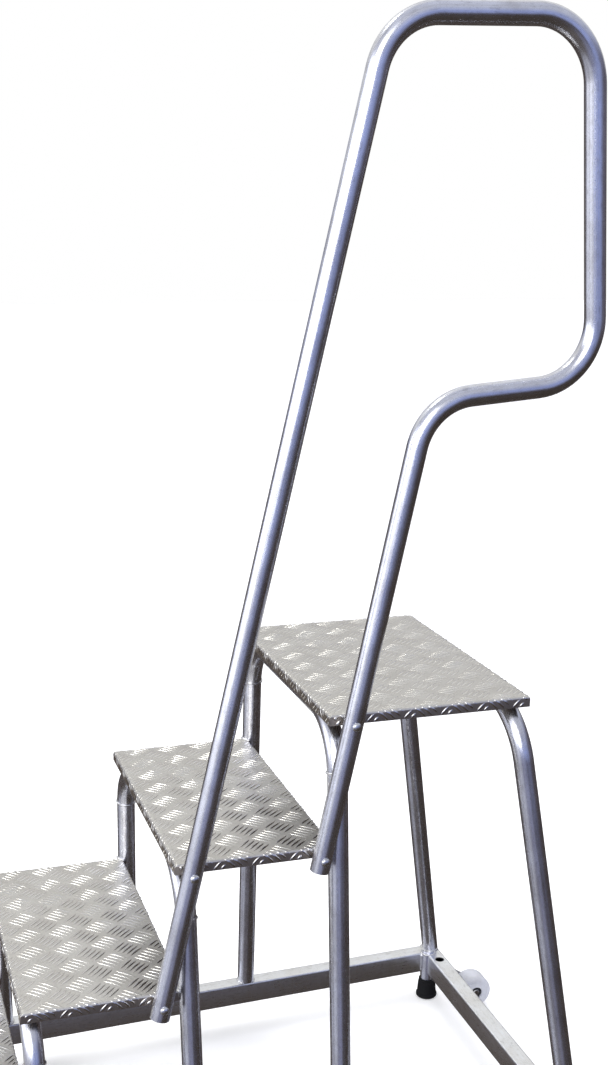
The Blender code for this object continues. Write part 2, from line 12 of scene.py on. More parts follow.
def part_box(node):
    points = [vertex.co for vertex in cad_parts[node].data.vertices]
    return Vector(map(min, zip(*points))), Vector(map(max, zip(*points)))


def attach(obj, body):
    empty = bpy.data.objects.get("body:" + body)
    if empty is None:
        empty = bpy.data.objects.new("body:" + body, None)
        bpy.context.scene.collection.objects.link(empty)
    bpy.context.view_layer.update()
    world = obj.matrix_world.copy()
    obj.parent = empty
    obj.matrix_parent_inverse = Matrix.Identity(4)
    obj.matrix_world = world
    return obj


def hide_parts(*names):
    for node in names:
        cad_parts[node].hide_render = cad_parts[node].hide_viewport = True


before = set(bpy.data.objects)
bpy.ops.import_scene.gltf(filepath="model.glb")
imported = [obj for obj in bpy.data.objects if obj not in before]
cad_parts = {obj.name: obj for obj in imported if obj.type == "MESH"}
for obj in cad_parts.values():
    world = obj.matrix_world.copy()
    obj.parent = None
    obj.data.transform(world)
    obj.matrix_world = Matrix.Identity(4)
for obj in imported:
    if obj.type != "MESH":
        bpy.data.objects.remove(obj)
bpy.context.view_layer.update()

# ---- sizes, in metres ----
STEPS = 4
TREADS = [f"tread_{step}" for step in range(1, STEPS)] + ["platform_tread"]
HOOPS = [f"hoop_{step}" for step in range(1, STEPS + 1)]
SIDES = {"left": -1, "right": 1}
BODY = "stand"

HOOP_RADIUS = 0.019
HOOP_INSET_X = 0.019057      # a foot's centre inside its hoop's box, a little more as the leg leans
BACK_HOOP_INSET_Y = 0.019228     # the same from front to back, for the back hoop
HOOP_HALF = 0.270            # half the leg spacing of a front hoop, at its tread's height
BACK_HOOP_HALF = 0.292
BACK_HOOP_INSET = 0.027
HOOP_BEND = 0.110
HANDRAIL_RADIUS = 0.018
HANDRAIL_BEND = 0.105
HANDRAIL_HEIGHT = 1.1105     # top bar's centre above the platform, at its nose
HANDRAIL_TOP_SLOPE = 0.036
HANDRAIL_UPRIGHT = (0.4115, 0.0845)      # behind the platform's nose at the bar's level, and its lean
HANDRAIL_RETURN = (0.540, 0.085)         # height above the platform at the rear leg, and its slope
HANDRAIL_PAST_BOLT = 0.025
BOLT_HEAD_HEIGHT = 0.005
BOLT_HEAD_EDGE = 0.0010      # straight part under the dome
BOLT_DOME_START = 0.0012
BOLT_DOME_SHARE = 0.93       # the dome's radius over the head's
BOLT_DOME_STEPS = 8
BOLT_SHANK = 0.004
TUBE_WALL = 0.003
TUBE_SIDES = 48
BEND_STEPS = 18

PLATE = 0.003
BAR_INSET = 0.023            # a hoop bar's centre behind the nose, and below the top
FLANGE = 0.021
FOLD = 0.0045                # outside radius of the folded side and back edges
NOSE_FOLD = 0.008            # and of the fold at the nose
SKIN = 0.0013                # the plate lies this far inside the tread's box, so that its bars stay within
CLEAR = 0.0003
ON_AXIS = 1e-7               # a turned outline's point nearer the axis than this is on it
LEAST_FILLET = 1e-6

GROUP_PITCH = 0.071          # tread pattern: one group of bars repeats at this pitch both ways
BARS = 5
BAR_LENGTH = 0.046
BAR_WIDTH = 0.0058
BAR_HEIGHT = 0.0012
BAR_ROWS = 11
BAR_COLUMNS = 7
PATTERN_X = 0.006            # centre of one group, from the stand's middle
PATTERN_V = 0.040            # and behind the nose
BAR_SINK = 0.00012           # a bar's rim lies this far under the plate's surface
BAR_SAMPLES = 29             # places along a bar where it is tested against the plate's edges
FEWEST_SAMPLES = 5           # a shorter stretch is left out

RAIL_HALF_WIDTH = 0.019
RAIL_CORNER = 0.004
ACCESS_HOLE_X = 0.303
ACCESS_HOLE_RADIUS = 0.011
HOLE_DEPTH = 0.006           # how far a hole's cutter reaches past the rail's top, both ways
FERRULE_NECK = 0.020         # outside radius at its top
FERRULE_FLOOR = 0.0118       # top of the rubber under the post

WELD_SCALE = 0.0032          # length of one ripple
WELD_STATION = 0.0009
WELD_SIDES = 10

NOSE_Y = [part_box(name)[0].y for name in TREADS]
TOP_Z = [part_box(name)[1].z for name in TREADS]
BACK_Y = [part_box(name)[1].y for name in TREADS]
HALF_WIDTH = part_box("platform_tread")[1].x
BASE_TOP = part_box("back_rail")[1].z


# ---- node helpers ----
class Nodes:
    """A material's or world's node tree, with short calls for what the looks below need."""

    def __init__(self, tree):
        self.tree = tree

    def add(self, kind, inputs=None, **settings):
        node = self.tree.nodes.new(kind)
        for key, value in settings.items():
            setattr(node, key, value)
        for key, value in (inputs or {}).items():
            if isinstance(value, bpy.types.NodeSocket):
                self.tree.links.new(value, node.inputs[key])
            else:
                node.inputs[key].default_value = value
        return node

    def math(self, operation, a, b=0.0, c=0.0):
        return self.add("ShaderNodeMath", {0: a, 1: b, 2: c}, operation=operation).outputs[0]

    def mix(self, factor, a, b):
        node = self.add("ShaderNodeMix", data_type="RGBA")
        for key, value in ((0, factor), (6, a), (7, b)):
            if isinstance(value, bpy.types.NodeSocket):
                self.tree.links.new(value, node.inputs[key])
            else:
                node.inputs[key].default_value = value
        return node.outputs[2]

    def scaled(self, colour, factor):
        inputs = {0: colour, "Scale": factor}
        return self.add("ShaderNodeVectorMath", inputs, operation="SCALE").outputs["Vector"]

    def ramp(self, value, low, high):
        """value from low..high to 0..1, clamped and smooth."""
        node = self.add("ShaderNodeMapRange", {0: value, 1: low, 2: high}, interpolation_type="SMOOTHSTEP")
        return node.outputs[0]

    def noise(self, vector, scale, detail=4.0, roughness=0.55):
        inputs = {"Vector": vector, "Scale": scale, "Detail": detail, "Roughness": roughness}
        return self.add("ShaderNodeTexNoise", inputs).outputs["Fac"]

    def stretched(self, vector, scale):
        return self.add("ShaderNodeMapping", {"Vector": vector, "Scale": scale}).outputs["Vector"]

    def part(self, value, low, high, most):
        """The ramp, up to most instead of 1."""
        return self.math("MULTIPLY", self.ramp(value, low, high), most)

    def bump(self, height, distance, strength=1.0, normal=None):
        inputs = {"Height": height, "Distance": distance, "Strength": strength}
        if normal is not None:
            inputs["Normal"] = normal
        return self.add("ShaderNodeBump", inputs).outputs["Normal"]


def new_material(name, metallic, **uniform):
    """A Principled material with its node helper. uniform holds sockets that are one value all over."""
    made = bpy.data.materials.new(name)
    made.use_nodes = True
    shader = made.node_tree.nodes["Principled BSDF"]
    shader.inputs["Metallic"].default_value = metallic
    for key, value in uniform.items():
        shader.inputs[key.replace("_", " ")].default_value = value
    nodes = Nodes(made.node_tree)
    return made, nodes, shader


def connect(nodes, shader, **sockets):
    for key, socket in sockets.items():
        nodes.tree.links.new(socket, shader.inputs[key.replace("_", " ")])


def rgba(red, green, blue):
    return (red, green, blue, 1.0)


# ---- materials ----
def drawn_aluminium(name, colour, worn, roughness, line_scale=1.0):
    """Drawn or extruded aluminium: die lines along the length, stains, grime specks and handling marks.
    The UV map holds metres: U round the section, V along the length."""
    made, nodes, shader = new_material(name, 1.0)
    uv = nodes.add("ShaderNodeUVMap", uv_map="metres").outputs["UV"]
    place = nodes.add("ShaderNodeTexCoord").outputs["Object"]
    lines = nodes.noise(nodes.stretched(uv, (900 * line_scale, 7, 1)), 1.0, 3.0)
    coarse = nodes.noise(nodes.stretched(uv, (210 * line_scale, 2.2, 1)), 1.0, 2.0)
    clouds = nodes.noise(place, 13.0, 6.0, 0.65)
    mottle = nodes.noise(nodes.stretched(uv, (140 * line_scale, 45, 1)), 1.0, 4.0, 0.7)
    specks = nodes.noise(place, 300.0, 3.0, 0.7)
    stain = nodes.ramp(clouds, 0.36, 0.68)
    tone = nodes.mix(stain, rgba(*colour), rgba(*worn))
    tone = nodes.mix(nodes.part(coarse, 0.42, 0.66, 0.42), tone, rgba(*worn))
    brown = tuple(0.62 * part for part in worn)
    tone = nodes.mix(nodes.part(mottle, 0.50, 0.72, 0.55), tone, rgba(*brown))
    tone = nodes.mix(nodes.part(specks, 0.62, 0.72, 0.45), tone, rgba(0.26, 0.23, 0.20))
    rough = nodes.math("MULTIPLY_ADD", lines, 0.16, roughness - 0.08)
    rough = nodes.math("MULTIPLY_ADD", mottle, 0.12, rough)
    normal = nodes.bump(lines, 0.00006, 0.6)
    normal = nodes.bump(coarse, 0.00025, 0.6, normal)
    normal = nodes.bump(mottle, 0.00015, 0.35, normal)
    connect(nodes, shader, Base_Color=tone, Roughness=rough, Normal=normal)
    return made


def tread_aluminium():
    """Rolled tread plate: polished crests, duller ground with rolling grain and dirt in its roughness, dirt
    and painted shade along the foot of each bar, and painted dark brown shade on the faces that don't face
    up.
    """
    made, nodes, shader = new_material("tread_aluminium", 1.0)
    crest = nodes.add("ShaderNodeAttribute", attribute_name="crest").outputs["Fac"]
    place = nodes.add("ShaderNodeTexCoord").outputs["Object"]
    grain = nodes.noise(nodes.stretched(place, (60, 900, 300)), 1.0, 3.0)
    fine = nodes.noise(place, 620.0, 3.0, 0.6)
    clouds = nodes.noise(place, 14.0, 5.0, 0.6)
    ground = nodes.mix(nodes.ramp(clouds, 0.3, 0.75), rgba(0.70, 0.685, 0.655), rgba(0.61, 0.59, 0.555))
    ground = nodes.mix(nodes.part(fine, 0.55, 0.75, 0.25), ground, rgba(0.42, 0.40, 0.38))
    polish = nodes.ramp(crest, 0.35, 0.95)
    tone = nodes.mix(polish, ground, rgba(0.74, 0.73, 0.71))
    dirt = nodes.ramp(crest, 0.02, 0.0)
    # Dirt and painted crease shade: each bar is darker along its foot, where it meets the plate.
    foot = nodes.math("MULTIPLY", nodes.ramp(crest, 0.0, 0.03), nodes.ramp(crest, 0.30, 0.05))
    tone = nodes.mix(nodes.math("MULTIPLY", foot, 0.55), tone, rgba(0.26, 0.24, 0.21))
    # Painted shade: faces that don't face up (the turned-down edges and the underside) are darkened towards
    # dark brown.
    facing = nodes.add("ShaderNodeNewGeometry").outputs["True Normal"]
    facing_up = nodes.add("ShaderNodeSeparateXYZ", {0: facing}).outputs[2]
    painted_side_shade = nodes.math("MULTIPLY", nodes.ramp(facing_up, 0.45, 0.10), nodes.ramp(crest, 0.45, 0.10))
    tone = nodes.mix(nodes.math("MULTIPLY", painted_side_shade, 0.8), tone, rgba(0.27, 0.22, 0.17))
    rough = nodes.math("MULTIPLY_ADD", grain, 0.12, 0.34)
    rough = nodes.math("MULTIPLY_ADD", nodes.ramp(crest, 0.05, 0.5), -0.22, rough)
    rough = nodes.math("MULTIPLY_ADD", nodes.math("MULTIPLY", clouds, dirt), 0.10, rough)
    normal = nodes.bump(grain, 0.00008, 0.5)
    normal = nodes.bump(fine, 0.00010, 0.5, normal)
    connect(nodes, shader, Base_Color=tone, Roughness=rough, Normal=normal)
    return made


def weld_aluminium():
    made, nodes, shader = new_material("weld_aluminium", 1.0)
    place = nodes.add("ShaderNodeTexCoord").outputs["Object"]
    soot = nodes.noise(place, 130.0, 4.0, 0.6)
    tone = nodes.mix(nodes.ramp(soot, 0.45, 0.75), rgba(0.80, 0.80, 0.80), rgba(0.34, 0.33, 0.33))
    rough = nodes.math("MULTIPLY_ADD", soot, 0.35, 0.18)
    normal = nodes.bump(nodes.noise(place, 900.0, 2.0), 0.0001, 0.5)
    connect(nodes, shader, Base_Color=tone, Roughness=rough, Normal=normal)
    return made


def plated_steel():
    made, nodes, shader = new_material("plated_steel", 1.0)
    place = nodes.add("ShaderNodeTexCoord").outputs["Object"]
    spots = nodes.noise(place, 160.0, 5.0, 0.65)
    tone = nodes.mix(nodes.ramp(spots, 0.45, 0.8), rgba(0.74, 0.75, 0.77), rgba(0.42, 0.40, 0.37))
    rough = nodes.math("MULTIPLY_ADD", spots, 0.25, 0.12)
    normal = nodes.bump(nodes.noise(place, 1500.0, 2.0), 0.00005, 0.4)
    connect(nodes, shader, Base_Color=tone, Roughness=rough, Normal=normal)
    return made


def moulded(name, colour, dusty, roughness, grain_scale, grain, **uniform):
    """Moulded rubber or plastic: a matt grain, dust in patches and small scuffs."""
    made, nodes, shader = new_material(name, 0.0, **uniform)
    place = nodes.add("ShaderNodeTexCoord").outputs["Object"]
    dust = nodes.noise(place, 22.0, 6.0, 0.65)
    scuff = nodes.noise(nodes.stretched(place, (60, 60, 420)), 1.0, 4.0, 0.7)
    tone = nodes.mix(nodes.ramp(dust, 0.42, 0.85), rgba(*colour), rgba(*dusty))
    tone = nodes.mix(nodes.part(scuff, 0.62, 0.72, 0.4), tone, rgba(*dusty))
    rough = nodes.math("MULTIPLY_ADD", dust, 0.22, roughness - 0.1)
    normal = nodes.bump(nodes.noise(place, grain_scale, 3.0), grain, 0.6)
    connect(nodes, shader, Base_Color=tone, Roughness=rough, Normal=normal)
    return made


TUBE = drawn_aluminium("tube_aluminium", (0.80, 0.82, 0.90), (0.62, 0.62, 0.66), 0.21)
RAIL = drawn_aluminium("rail_aluminium", (0.90, 0.92, 0.96), (0.80, 0.80, 0.80), 0.24, 0.8)
TREAD = tread_aluminium()
WELD = weld_aluminium()
STEEL = plated_steel()
RUBBER = moulded(
    "black_rubber", (0.004, 0.004, 0.005), (0.018, 0.017, 0.016), 0.72, 900.0, 0.00012,
    Specular_IOR_Level=0.25,
)
NYLON = moulded("white_nylon", (0.60, 0.61, 0.66), (0.46, 0.46, 0.48), 0.42, 1400.0, 0.00004)
PLASTIC = moulded("black_plastic", (0.016, 0.016, 0.018), (0.06, 0.06, 0.06), 0.45, 1600.0, 0.00005)


# ---- mesh helpers ----
def add_object(name, data):
    made = bpy.data.objects.new(name, data)
    bpy.context.scene.collection.objects.link(made)
    return made


def add_piece(name, mesh, look, body=BODY, replaced=(), smooth=35.0):
    mesh.shade_smooth()
    mesh.set_sharp_from_angle(angle=math.radians(smooth))
    mesh.materials.append(look)
    made = add_object(name, mesh)
    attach(made, body)
    if replaced:
        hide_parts(*replaced)
    return made


def mesh_of(name, bm):
    mesh = bpy.data.meshes.new(name)
    bm.to_mesh(mesh)
    bm.free()
    return mesh


def mesh_from(name, verts, faces, uvs=None):
    """uvs is one (u, v) for each corner of each face, in order."""
    mesh = bpy.data.meshes.new(name)
    mesh.from_pydata([tuple(v) for v in verts], [], faces)
    if uvs is not None:
        layer = mesh.uv_layers.new(name="metres")
        layer.data.foreach_set("uv", np.asarray(uvs, float).ravel())
    mesh.validate(clean_customdata=False)
    mesh.update()
    return mesh


def rounded_path(corners, radius):
    """Points and directions along a bent centre line, with an arc at each inner corner."""
    path = [(corners[0], (corners[1] - corners[0]).normalized())]
    for before, corner, after in zip(corners, corners[1:], corners[2:]):
        back = (before - corner).normalized()
        ahead = (after - corner).normalized()
        turn = math.pi - back.angle(ahead)
        start = corner + back * radius * math.tan(turn / 2)
        centre = corner + (back + ahead).normalized() * radius / math.cos(turn / 2)
        axis = (-back).cross(ahead)
        for step in range(BEND_STEPS + 1):
            spin = Matrix.Rotation(turn * step / BEND_STEPS, 3, axis)
            path.append((centre + spin @ (start - centre), spin @ -back))
    path.append((corners[-1], (corners[-1] - corners[-2]).normalized()))
    return path


def skin_rings(rings, lengths):
    """Faces and metre UVs between rings. A ring is its vertex numbers and its run round the section."""
    faces, uvs = [], []
    pairs = zip(rings, rings[1:], lengths, lengths[1:])
    for (first, u_first), (second, u_second), v_first, v_second in pairs:
        count = len(first)
        for n in range(count):
            m = (n + 1) % count
            faces.append((first[n], first[m], second[m], second[n]))
            u0, u1 = u_first[n], u_first[n + 1]
            w0, w1 = u_second[n], u_second[n + 1]
            uvs += [(u0, v_first), (u1, v_first), (w1, v_second), (w0, v_second)]
    return faces, uvs


def tube_mesh(name, path, normal, radius, wall, level=None, rim=0.0006):
    """A hollow tube along a flat path, with rounded rims. level is the height of ends that are cut level."""
    stations = []
    travelled = 0.0
    for place, (point, ahead) in enumerate(path):
        if place:
            travelled += (point - path[place - 1][0]).length
        stations.append((point, ahead, travelled))
    inner_radius = radius - wall
    verts = []

    def ring(point, ahead, r, cut):
        across = normal.cross(ahead).normalized()
        numbers = []
        for side in range(TUBE_SIDES):
            angle = 2 * math.pi * side / TUBE_SIDES
            spot = point + r * (math.cos(angle) * normal + math.sin(angle) * across)
            if cut:
                spot += ahead * (level - spot.z) / ahead.z
            numbers.append(len(verts))
            verts.append(spot)
        step = 2 * math.pi * radius / TUBE_SIDES
        return numbers, [n * step for n in range(TUBE_SIDES + 1)]

    layers = []
    last = len(stations) - 1
    for place, (point, ahead, far) in enumerate(stations):
        if place not in (0, last) or level is not None:
            layers.append((point, ahead, radius, far))
            continue
        inward = ahead if place == 0 else -ahead
        rounded = [(point, ahead, radius - rim, far), (point + inward * rim, ahead, radius, far)]
        layers += rounded if place == 0 else rounded[::-1]
    outer, inner = [], []
    for n, (point, ahead, r, _) in enumerate(layers):
        outer.append(ring(point, ahead, r, level is not None and n in (0, len(layers) - 1)))
    for n, (point, ahead, _) in enumerate(stations):
        inner.append(ring(point, ahead, inner_radius, level is not None and n in (0, last)))
    outer_far = [layer[3] for layer in layers]
    inner_far = [station[2] for station in stations]
    loop = outer + inner[::-1] + outer[:1]
    lengths = outer_far + inner_far[::-1] + outer_far[:1]
    faces, uvs = skin_rings(loop, lengths)
    return mesh_from(name, verts, faces, uvs)


def turned_mesh(name, profile, sides=48):
    """A solid turned about local Z from a closed outline of (radius, height) points."""
    verts, rows = [], []
    for radius, height in profile:
        if radius < ON_AXIS:
            rows.append([len(verts)] * sides)
            verts.append((0, 0, height))
        else:
            rows.append(list(range(len(verts), len(verts) + sides)))
            for n in range(sides):
                angle = 2 * math.pi * n / sides
                verts.append((radius * math.cos(angle), radius * math.sin(angle), height))
    faces = []
    for first, second in zip(rows, rows[1:] + rows[:1]):
        for n in range(sides):
            m = (n + 1) % sides
            corners = list(dict.fromkeys((first[n], first[m], second[m], second[n])))
            if len(corners) > 2:
                faces.append(tuple(corners))
    return mesh_from(name, verts, faces)


def fillet(points, radius, steps):
    """A closed 2-D outline with each corner rounded. A point may carry its own radius as a third number."""
    result = []
    count = len(points)
    for n, point in enumerate(points):
        r = point[2] if len(point) > 2 else radius
        here = Vector(point[:2])
        back = Vector(points[n - 1][:2]) - here
        ahead = Vector(points[(n + 1) % count][:2]) - here
        r_cut = min(r, 0.49 * back.length, 0.49 * ahead.length)
        if r_cut < LEAST_FILLET:
            result.append(tuple(here))
            continue
        back.normalize()
        ahead.normalize()
        start, end = here + back * r_cut, here + ahead * r_cut
        for step in range(steps + 1):
            t = step / steps
            result.append(tuple(start * (1 - t) ** 2 + here * 2 * t * (1 - t) + end * t**2))
    return result


def lay_on_x(mesh, place, side=1):
    """Turns local Z to +X or -X and moves the mesh there."""
    mesh.transform(Matrix.Translation(place) @ Matrix.Rotation(math.radians(90 * side), 4, "Y"))
    return mesh


def outward(mesh):
    bm = bmesh.new()
    bm.from_mesh(mesh)
    bmesh.ops.recalc_face_normals(bm, faces=bm.faces)
    bm.to_mesh(mesh)
    bm.free()
    return mesh


# ---- hoops ----
def hoop_corners(node, half, bar_y):
    """Corners of an inverted U: its box gives the feet, and the tread above gives the bar."""
    low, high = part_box(node)
    foot_y = (low.y + high.y) / 2 if node != "back_hoop" else high.y - BACK_HOOP_INSET_Y
    foot = Vector((high.x - HOOP_INSET_X, foot_y, low.z))
    bar_z = high.z - HOOP_RADIUS
    top_z = bar_z + BAR_INSET
    share = (top_z - bar_z) / (top_z - foot.z)
    shoulder = Vector((half, bar_y, top_z)).lerp(foot, share)
    shoulder.y = bar_y
    flip = Vector((-1, 1, 1))
    return [foot, shoulder, shoulder * flip, foot * flip]


def make_hoop(node, half, bar_y):
    corners = hoop_corners(node, half, bar_y)
    path = rounded_path(corners, min(HOOP_BEND, (corners[1] - corners[0]).length))
    normal = (corners[1] - corners[0]).cross(corners[2] - corners[1]).normalized()
    mesh = outward(tube_mesh(f"{node}_tube", path, normal, HOOP_RADIUS, TUBE_WALL, level=corners[0].z))
    add_piece(f"{node}_tube", mesh, TUBE, replaced=[node])
    return corners, path, normal


# ---- handrail ----
def handrail_bolts():
    """Centres of the handrail's bolts on its centre line, lowest of each leg first."""
    places = {}
    for leg in ("front", "rear"):
        places[leg] = []
        for end in ("low", "high"):
            low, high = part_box(f"handrail_bolt_{leg}_{end}")
            places[leg].append((low + high) / 2)
    return places


def meet(point_a, dir_a, point_b, dir_b):
    """Where two lines in one YZ plane cross."""
    share = ((point_b.y - point_a.y) * dir_b.z - (point_b.z - point_a.z) * dir_b.y) / (
        dir_a.y * dir_b.z - dir_a.z * dir_b.y
    )
    return point_a + dir_a * share


def make_handrail():
    low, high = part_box("handrail")
    x = (low.x + high.x) / 2
    bolts = handrail_bolts()
    for leg in bolts.values():
        for place in leg:
            place.x = x
    (front_low, front_high), (rear_low, rear_high) = bolts["front"], bolts["rear"]
    front_dir = (front_high - front_low).normalized()
    rear_dir = (rear_high - rear_low).normalized()
    nose, top = NOSE_Y[-1], TOP_Z[-1]
    bar = Vector((x, nose, top + HANDRAIL_HEIGHT))
    upright = Vector((x, nose + HANDRAIL_UPRIGHT[0], top + HANDRAIL_HEIGHT))
    elbow = meet(rear_low, rear_dir, Vector((x, 0, top + HANDRAIL_RETURN[0])), Vector((0, 1, 0)))
    bar_dir, upright_dir = Vector((0, 1, HANDRAIL_TOP_SLOPE)), Vector((0, HANDRAIL_UPRIGHT[1], -1))
    corners = [
        front_low - front_dir * HANDRAIL_PAST_BOLT,
        meet(front_low, front_dir, bar, bar_dir),
        meet(bar, bar_dir, upright, upright_dir),
        meet(upright, upright_dir, elbow, Vector((0, 1, HANDRAIL_RETURN[1]))),
        elbow,
        rear_low - rear_dir * HANDRAIL_PAST_BOLT,
    ]
    path = rounded_path(corners, HANDRAIL_BEND)
    mesh = tube_mesh("handrail_tube", path, Vector((1, 0, 0)), HANDRAIL_RADIUS, TUBE_WALL)
    add_piece("handrail_tube", outward(mesh), TUBE, replaced=["handrail"])


def make_handrail_bolt(leg, end):
    """Round dome head on the tube, with a low flange; the shank stays inside the tube."""
    node = f"handrail_bolt_{leg}_{end}"
    low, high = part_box(node)
    radius = (high.y - low.y) / 2
    seat = high.x - BOLT_HEAD_HEIGHT
    tip = low.x - seat
    profile = [(0, tip), (BOLT_SHANK, tip), (BOLT_SHANK, 0), (radius, 0), (radius, BOLT_HEAD_EDGE)]
    dome_rise = BOLT_HEAD_HEIGHT - BOLT_DOME_START
    for n in range(1, BOLT_DOME_STEPS + 1):
        angle = math.radians(90 * n / BOLT_DOME_STEPS)
        spot = (radius * BOLT_DOME_SHARE * math.cos(angle), BOLT_DOME_START + dome_rise * math.sin(angle))
        profile.append(spot)
    place = Vector((seat, (low.y + high.y) / 2, (low.z + high.z) / 2))
    mesh = outward(lay_on_x(turned_mesh(f"{node}_dome", profile, 40), place))
    add_piece(f"{node}_dome", mesh, STEEL, replaced=[node])


# ---- treads ----
class FoldedPlate:
    """Maps places on a tread's flat blank to the folded plate. u runs across, and v back from where the
    nose's fold ends. The outside surface is returned, raised by a height along its normal."""

    def __init__(self, step):
        self.front, self.back, self.top = NOSE_Y[step] + SKIN, BACK_Y[step] - SKIN, TOP_Z[step] - SKIN
        self.half = HALF_WIDTH - SKIN
        self.lip = FLANGE - SKIN
        self.start_y = self.front + NOSE_FOLD
        self.flat_u = self.half - FOLD
        self.flat_v = self.back - FOLD - self.start_y
        self.arc, self.nose_arc = FOLD * math.pi / 2, NOSE_FOLD * math.pi / 2
        self.u_end = self.flat_u + self.arc + self.lip - FOLD
        self.v_end = self.flat_v + self.arc + self.lip - FOLD
        self.v_front = -(self.nose_arc + self.lip - NOSE_FOLD)

    def inside(self, u, v):
        if abs(u) > self.u_end or not self.v_front <= v <= self.v_end:
            return False
        return abs(u) <= self.flat_u or 0 <= v <= self.flat_v

    @staticmethod
    def fold(distance, radius):
        """Run, drop and tilt along a rounded fold, past where it starts."""
        if distance <= 0:
            return distance, 0.0, 0.0
        angle = distance / radius
        if angle < math.pi / 2:
            return radius * math.sin(angle), radius * (1 - math.cos(angle)), angle
        return radius, radius + distance - radius * math.pi / 2, math.pi / 2

    def place(self, u, v, height=0.0):
        side = 1 if u >= 0 else -1
        if v < 0:
            run, drop, tilt = self.fold(-v, NOSE_FOLD)
            y = self.start_y - run - height * math.sin(tilt)
            return Vector((u, y, self.top - drop + height * math.cos(tilt)))
        run_v, drop_v, tilt_v = self.fold(v - self.flat_v, FOLD)
        run_u, drop_u, tilt_u = self.fold(abs(u) - self.flat_u, FOLD)
        x = self.flat_u + run_u + height * math.sin(tilt_u)
        y = self.flat_v + run_v + height * math.sin(tilt_v)
        z = height * math.cos(max(tilt_u, tilt_v)) - drop_u - drop_v
        return Vector((side * x, self.start_y + y, self.top + z))


def spaced(low, high, pitch):
    count = max(1, round((high - low) / pitch))
    return [round(low + (high - low) * n / count, 7) for n in range(count + 1)]


def plate_mesh(plate):
    """The folded sheet: a rounded top whose four edges turn down, closed at its corners."""
    fold_steps = 6
    shares = [math.pi / 2 * n / fold_steps for n in range(1, fold_steps + 1)]
    x_half = [plate.flat_u] + [plate.flat_u + FOLD * math.sin(a) for a in shares]
    x_drop = [0.0] + [FOLD * (1 - math.cos(a)) for a in shares]
    columns = [(-x, d) for x, d in zip(x_half, x_drop)][::-1]
    columns += [(x, 0.0) for x in spaced(-plate.flat_u, plate.flat_u, 0.05)[1:-1]]
    columns += list(zip(x_half, x_drop))
    rows = [(-NOSE_FOLD * math.sin(a), NOSE_FOLD * (1 - math.cos(a))) for a in shares][::-1]
    rows += [(y, 0.0) for y in spaced(0.0, plate.flat_v, 0.05)]
    rows += [(plate.flat_v + FOLD * math.sin(a), FOLD * (1 - math.cos(a))) for a in shares]
    bm = bmesh.new()
    grid = [
        [bm.verts.new((x, plate.start_y + y, plate.top - max(dx, dy))) for x, dx in columns] for y, dy in rows
    ]
    for first, second in zip(grid, grid[1:]):
        for n in range(len(columns) - 1):
            bm.faces.new((first[n], first[n + 1], second[n + 1], second[n]))
    rim = grid[0] + [row[-1] for row in grid[1:]] + grid[-1][-2::-1] + [row[0] for row in grid[-2:0:-1]]
    hem = [bm.verts.new((vert.co.x, vert.co.y, plate.top - plate.lip)) for vert in rim]
    for n in range(len(rim)):
        m = (n + 1) % len(rim)
        bm.faces.new((rim[n], rim[m], hem[m], hem[n]))
    bmesh.ops.recalc_face_normals(bm, faces=bm.faces)
    return mesh_of("plate", bm)


def bar_grid():
    """One raised bar: (along, across, height) in -1..1, -1..1 and 0..1, as rows of columns."""
    rows = []
    for a in np.linspace(-1, 1, BAR_ROWS):
        along = math.sin(a * math.pi / 2) * 0.35 + a * 0.65
        width = (1 - abs(along) ** 2.6) ** 0.75
        rise = 1 - along**2
        row = []
        for t in np.linspace(-1, 1, BAR_COLUMNS):
            row.append((along, t * max(width, 0.08), rise * (1 - abs(t) ** 3.2)))
        rows.append(row)
    return rows


BAR = bar_grid()


def bar_span(plate, centre, along, blocked):
    """The longest stretch of a bar's line that lies on the plate, as shares of its half length, or None."""
    samples = np.linspace(-1, 1, BAR_SAMPLES)
    good = []
    for s in samples:
        u = centre[0] + along[0] * s * BAR_LENGTH / 2
        v = centre[1] + along[1] * s * BAR_LENGTH / 2
        good.append(plate.inside(u, v) and not blocked(plate.place(u, v)))
    best = None
    start = None
    for n, ok in enumerate(good + [False]):
        if ok and start is None:
            start = n
        elif not ok and start is not None:
            if best is None or n - start > best[1] - best[0]:
                best = (start, n)
            start = None
    if best is None or best[1] - best[0] < FEWEST_SAMPLES:
        return None
    return samples[best[0]], samples[best[1] - 1]


def bars_mesh(plate, blocked):
    """All the raised bars of one tread. Groups of parallel bars alternate between the two diagonals."""
    verts, faces, crest = [], [], []
    root = math.sqrt(0.5)
    pitch = GROUP_PITCH * root / BARS
    reach_u, reach_v = plate.u_end + GROUP_PITCH, plate.v_end + GROUP_PITCH
    for along, offset in (((root, root), 0.0), ((-root, root), GROUP_PITCH / 2)):
        across = (-along[1], along[0])
        columns = range(-int(reach_u / GROUP_PITCH) - 2, int(reach_u / GROUP_PITCH) + 3)
        lines = range(-2, int(reach_v / GROUP_PITCH) + 2)
        for i in columns:
            for j in lines:
                group = (PATTERN_X + offset + i * GROUP_PITCH, PATTERN_V + offset + j * GROUP_PITCH)
                for bar in range(BARS):
                    shift = (bar - (BARS - 1) / 2) * pitch
                    centre = (group[0] + across[0] * shift, group[1] + across[1] * shift)
                    span = bar_span(plate, centre, along, blocked)
                    if span is None:
                        continue
                    add_bar(plate, centre, along, across, span, verts, faces, crest)
    return verts, faces, crest


